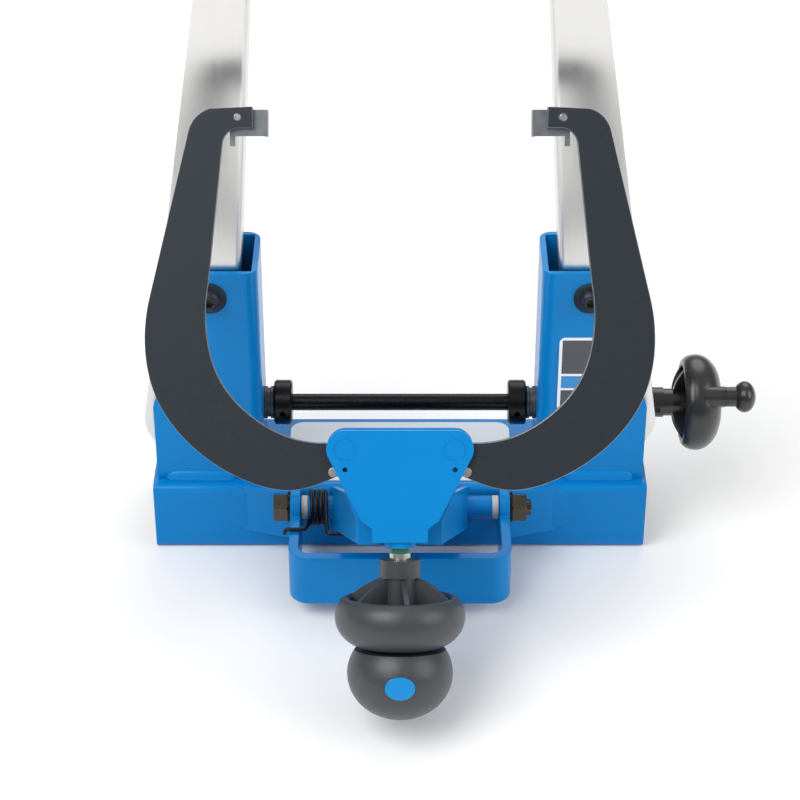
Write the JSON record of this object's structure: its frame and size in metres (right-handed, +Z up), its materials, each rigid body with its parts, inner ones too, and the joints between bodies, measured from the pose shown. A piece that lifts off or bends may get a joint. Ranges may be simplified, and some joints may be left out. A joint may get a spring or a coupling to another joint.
{
  "type": "bicycle wheel truing stand",
  "caption": "Truing stand with two screw-spread hinged uprights and a sprung arm carrying knob-driven calipers.",
  "frame": {"origin": "on the base tube's underside, midway between the uprights", "axes": "+X right, towards the side knob; +Y to the rear; +Z up"},
  "size_m": [0.3056, 0.2256, 0.5226],
  "materials": {
    "blue_powder_coat": "satin powder coat, blue",
    "nickel_plate": "brushed nickel plate",
    "black_oxide": "satin black",
    "black_oxide_steel": "black oxide",
    "zinc_steel": "zinc plated",
    "black_nylon": "moulded, satin",
    "white_nylon": "moulded",
    "spring_steel": "oil blackened spring wire",
    "brass": "turned",
    "silver_film": "satin silver film",
    "label_film": null,
    "blue_plastic": "gloss, plain",
    "green_ring": "translucent green"
  },
  "bodies": {
    "stand": {"base_tube": "blue_powder_coat", "base_end_plugs": "black_nylon", "top_plate": "silver_film", "bracket_left": "blue_powder_coat", "bracket_right": "blue_powder_coat", "bracket_welds": "blue_powder_coat", "label_plate": "label_film", "hinge_bolts": "black_oxide_steel", "hinge_nuts": "black_oxide_steel", "hinge_spacers": "white_nylon", "front_strap": "blue_powder_coat", "strap_welds": "blue_powder_coat", "arm_bolt": "black_oxide_steel", "arm_nut": "black_oxide_steel", "arm_washers": "black_oxide_steel", "screw_bushes": "black_nylon"},
    "upright_left": {"upright_left": "nickel_plate", "axle_seat_left": "zinc_steel", "seat_screws_left": "black_oxide_steel"},
    "upright_right": {"upright_right": "nickel_plate", "axle_seat_right": "zinc_steel", "seat_screws_right": "black_oxide_steel"},
    "trunnion_left": {"trunnion_left": "brass"},
    "trunnion_right": {"trunnion_right": "brass"},
    "screw": {"spreading_screw": "black_oxide_steel", "screw_collars": "black_oxide_steel", "side_knob": "black_nylon", "knob_grub": "black_oxide_steel", "spinner_pin": "zinc_steel"},
    "spinner": {"spinner_grip": "black_nylon"},
    "arm": {"caliper_arm": "blue_powder_coat", "arm_bushings": "white_nylon", "torsion_spring": "spring_steel", "head_back_plate": "blue_powder_coat", "head_front_plate": "blue_powder_coat", "head_guide": "blue_powder_coat", "jaw_pins": "blue_powder_coat", "jaw_spacers": "white_nylon", "thrust_ring": "green_ring", "thrust_spacer": "zinc_steel"},
    "jaw_left": {"caliper_left": "black_oxide", "feeler_left": "black_oxide_steel", "feeler_screw_left": "zinc_steel"},
    "jaw_right": {"caliper_right": "black_oxide", "feeler_right": "black_oxide_steel", "feeler_screw_right": "zinc_steel"},
    "slide": {"slide_block": "zinc_steel", "link_pins": "zinc_steel", "stud": "zinc_steel", "return_spring": "spring_steel", "ball_knob": "black_nylon", "ball_cap": "blue_plastic"},
    "saucer": {"saucer_knob": "black_nylon", "knob_insert": "brass"}
  },
  "joints": [
    {"name": "spread_screw_turn", "type": "hinge", "parent": "stand", "child": "screw", "pos_m": [0, 0, 0.0712], "axis": [1, 0, 0], "range_deg": [-540, 1728]},
    {"name": "upright_left_hinge", "type": "hinge", "parent": "stand", "child": "upright_left", "pos_m": [-0.092, 0, 0.1455], "axis": [0, -1, 0], "range_deg": [-1.75, 5.56]},
    {"name": "upright_right_hinge", "type": "hinge", "parent": "stand", "child": "upright_right", "pos_m": [0.092, 0, 0.1455], "axis": [0, 1, 0], "range_deg": [-1.75, 5.56]},
    {"name": "trunnion_left_turn", "type": "hinge", "parent": "upright_left", "child": "trunnion_left", "pos_m": [-0.09667, 0, 0.0712], "axis": [0, 1, 0], "range_deg": [-1.75, 5.56]},
    {"name": "trunnion_right_turn", "type": "hinge", "parent": "upright_right", "child": "trunnion_right", "pos_m": [0.09667, 0, 0.0712], "axis": [0, -1, 0], "range_deg": [-1.75, 5.56]},
    {"name": "spinner_turn", "type": "hinge", "parent": "screw", "child": "spinner", "pos_m": [0.162, -0.01456, 0.08417], "axis": [1, 0, 0], "continuous": true},
    {"name": "caliper_arm_hinge", "type": "hinge", "parent": "stand", "child": "arm", "pos_m": [0, -0.044, 0.0375], "axis": [-1, 0, 0], "range_deg": [0, 4], "deforming": ["torsion_spring"]},
    {"name": "saucer_knob_turn", "type": "hinge", "parent": "arm", "child": "saucer", "pos_m": [0, -0.1349, 0.0859], "axis": [0, -0.5, -0.866], "range_deg": [0, 1679.5]},
    {"name": "stud_slide", "type": "slide", "parent": "arm", "child": "slide", "axis": [0, -0.5, -0.866], "range_m": [0, 0.00585], "deforming": ["return_spring"]},
    {"name": "caliper_left_hinge", "type": "hinge", "parent": "arm", "child": "jaw_left", "pos_m": [-0.0249, -0.11476, 0.12358], "axis": [0, 0.866, -0.5], "range_deg": [0, 21.05]},
    {"name": "caliper_right_hinge", "type": "hinge", "parent": "arm", "child": "jaw_right", "pos_m": [0.0249, -0.11476, 0.12358], "axis": [0, -0.866, 0.5], "range_deg": [0, 21.05]}
  ],
  "couplings": [
    {"joint": "upright_left_hinge", "follows": "spread_screw_turn", "ratio": 0.0032067},
    {"joint": "upright_right_hinge", "follows": "spread_screw_turn", "ratio": 0.0032067},
    {"joint": "trunnion_left_turn", "follows": "spread_screw_turn", "ratio": 0.0032067},
    {"joint": "trunnion_right_turn", "follows": "spread_screw_turn", "ratio": 0.0032067},
    {"joint": "stud_slide", "follows": "saucer_knob_turn", "m_per_rad": 0.00019894},
    {"joint": "caliper_left_hinge", "follows": "saucer_knob_turn", "ratio": 0.012504},
    {"joint": "caliper_right_hinge", "follows": "saucer_knob_turn", "ratio": 0.012504}
  ]
}
